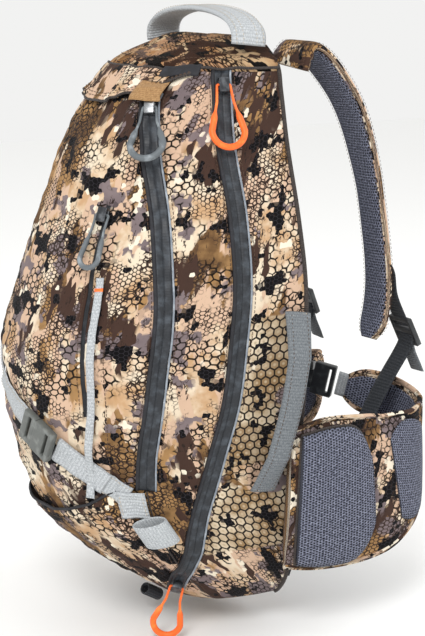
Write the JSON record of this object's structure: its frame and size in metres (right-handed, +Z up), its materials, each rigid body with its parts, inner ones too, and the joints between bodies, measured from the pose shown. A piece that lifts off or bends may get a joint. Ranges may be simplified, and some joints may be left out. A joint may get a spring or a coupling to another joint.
{
  "type": "hunting backpack",
  "caption": "Teardrop hunting daypack in a marsh camouflage print with long zips, compression strap, padded straps and wrap-round hip wings.",
  "frame": {"origin": "middle of the back pad's flat face, which rests on the wearer", "axes": "+X to the wearer's right, +Y towards the wearer's back, +Z up"},
  "size_m": [0.3366, 0.3956, 0.587],
  "materials": {
    "camo_fabric": "printed woven shell",
    "air_mesh": "spacer mesh",
    "grey_webbing": "woven nylon webbing",
    "dark_webbing": "woven nylon webbing",
    "zip_tape": "coated zip tape",
    "frame_plastic": "sheet",
    "buckle_plastic": "moulded acetal",
    "dark_buckle": "moulded acetal",
    "slider_metal": "coated zip slider",
    "orange_pull": "moulded cord grip",
    "grey_pull": "moulded cord grip"
  },
  "bodies": {
    "pack_body": {"back_pad": "air_mesh", "back_panel": "camo_fabric", "frame_sheet": "frame_plastic", "side_panel_right": "camo_fabric", "side_panel_left": "camo_fabric", "gusset_right": "camo_fabric", "gusset_left": "camo_fabric", "front_panel": "camo_fabric", "base_panel": "camo_fabric", "crown_panel": "camo_fabric", "divider_panel": "air_mesh", "hood_flap": "camo_fabric", "lower_pocket": "camo_fabric", "zip_garage": "camo_fabric", "main_zip_tape": "zip_tape", "front_zip_tape": "zip_tape", "pocket_zip_tape": "zip_tape", "compression_web_right": "grey_webbing", "compression_web_left": "grey_webbing", "compression_buckle_socket": "buckle_plastic", "zip_end_tab": "grey_webbing", "keeper_loop": "grey_webbing", "daisy_tape": "grey_webbing", "base_loop": "dark_webbing", "harness_yoke": "camo_fabric", "strap_anchor_right": "dark_webbing", "strap_anchor_left": "dark_webbing"},
    "main_zip_top_slider": {"main_zip_top_slider": "slider_metal"},
    "main_zip_top_pull": {"main_zip_top_pull": "orange_pull"},
    "main_zip_base_slider": {"main_zip_base_slider": "slider_metal"},
    "main_zip_base_pull": {"main_zip_base_pull": "orange_pull"},
    "front_zip_slider": {"front_zip_slider": "slider_metal"},
    "front_zip_pull": {"front_zip_pull": "grey_pull"},
    "pocket_zip_slider": {"pocket_zip_slider": "slider_metal"},
    "pocket_zip_pull": {"pocket_zip_pull": "grey_pull"},
    "top_handle": {"top_handle": "grey_webbing"},
    "side_handle": {"side_handle": "grey_webbing"},
    "compression_buckle_prong": {"compression_buckle_prong": "buckle_plastic"},
    "shoulder_strap_right": {"shoulder_pad_right": "air_mesh", "adjuster_web_right": "dark_webbing", "ladder_lock_right": "buckle_plastic", "lower_web_right": "dark_webbing", "web_tail_right": "grey_webbing"},
    "shoulder_strap_left": {"shoulder_pad_left": "air_mesh", "adjuster_web_left": "dark_webbing", "ladder_lock_left": "buckle_plastic", "lower_web_left": "dark_webbing", "web_tail_left": "grey_webbing"},
    "hip_wing_right": {"hip_wing_right": "camo_fabric", "wing_pocket_right": "air_mesh", "belt_web_right": "grey_webbing", "belt_buckle_socket": "dark_buckle"},
    "hip_wing_left": {"hip_wing_left": "camo_fabric", "wing_pocket_left": "air_mesh", "belt_web_left": "grey_webbing", "belt_buckle_prong": "dark_buckle"}
  },
  "joints": [
    {"name": "main_zip_top_travel", "type": "hinge", "parent": "pack_body", "child": "main_zip_top_slider", "pos_m": [0.4868, 1.13783, 0.25025], "axis": [0.9063, -0.3038, 0.2936], "range_deg": [0, 6.8]},
    {"name": "main_zip_top_pull_swing", "type": "hinge", "parent": "main_zip_top_slider", "child": "main_zip_top_pull", "pos_m": [0.08991, -0.07005, 0.23646], "axis": [0.2576, 0.9662, -0.0053], "range_deg": [-100, 0]},
    {"name": "main_zip_base_travel", "type": "hinge", "parent": "pack_body", "child": "main_zip_base_slider", "pos_m": [0.01323, -0.08074, -0.1511], "axis": [-0.2411, -0.9537, 0.1798], "range_deg": [0, 32]},
    {"name": "main_zip_base_pull_swing", "type": "hinge", "parent": "main_zip_base_slider", "child": "main_zip_base_pull", "pos_m": [0.07787, -0.11325, -0.23239], "axis": [0.4958, 0.827, -0.2649], "range_deg": [-80, 8]},
    {"name": "front_zip_travel", "type": "hinge", "parent": "pack_body", "child": "front_zip_slider", "pos_m": [-0.47613, 0.24893, -0.09378], "axis": [-0.5294, -0.8416, -0.1068], "range_deg": [-13.6, 0]},
    {"name": "front_zip_pull_swing", "type": "hinge", "parent": "front_zip_slider", "child": "front_zip_pull", "pos_m": [0.06649, -0.13232, 0.21752], "axis": [0.6496, 0.7574, 0.0661], "range_deg": [-92, 0]},
    {"name": "pocket_zip_travel", "type": "hinge", "parent": "pack_body", "child": "pocket_zip_slider", "pos_m": [0.19137, 0.34288, -0.06448], "axis": [-0.9712, 0.1718, -0.165], "range_deg": [-12.6, 0]},
    {"name": "pocket_zip_pull_swing", "type": "hinge", "parent": "pocket_zip_slider", "child": "pocket_zip_pull", "pos_m": [0.0688, -0.18121, 0.12537], "axis": [0.8275, 0.5537, -0.0931], "range_deg": [-100, 0]},
    {"name": "top_handle_flop", "type": "hinge", "parent": "pack_body", "child": "top_handle", "pos_m": [0, -0.0384, 0.27], "axis": [1, 0, 0], "range_deg": [-40, 40]},
    {"name": "side_handle_flop", "type": "hinge", "parent": "pack_body", "child": "side_handle", "pos_m": [0.1386, -0.0383, -0.04848], "axis": [0.0873, 0.158, 0.9836], "range_deg": [-6, 6]},
    {"name": "compression_buckle_release", "type": "slide", "parent": "pack_body", "child": "compression_buckle_prong", "axis": [-0.834, -0.2752, 0.4782], "range_m": [0, 0.015]},
    {"name": "shoulder_strap_right_splay", "type": "hinge", "parent": "pack_body", "child": "shoulder_strap_right", "pos_m": [0.07, 0.012, 0.249], "axis": [-0.0512, 0.0256, 0.9984], "range_deg": [-8, 20]},
    {"name": "shoulder_strap_left_splay", "type": "hinge", "parent": "pack_body", "child": "shoulder_strap_left", "pos_m": [-0.07, 0.012, 0.249], "axis": [0.0512, 0.0256, 0.9984], "range_deg": [-20, 8]},
    {"name": "hip_wing_right_open", "type": "hinge", "parent": "pack_body", "child": "hip_wing_right", "pos_m": [0.165, -0.034, -0.142], "axis": [0, 0, 1], "range_deg": [-25, 0]},
    {"name": "hip_wing_left_open", "type": "hinge", "parent": "pack_body", "child": "hip_wing_left", "pos_m": [-0.165, -0.034, -0.142], "axis": [0, 0, 1], "range_deg": [0, 25]}
  ]
}
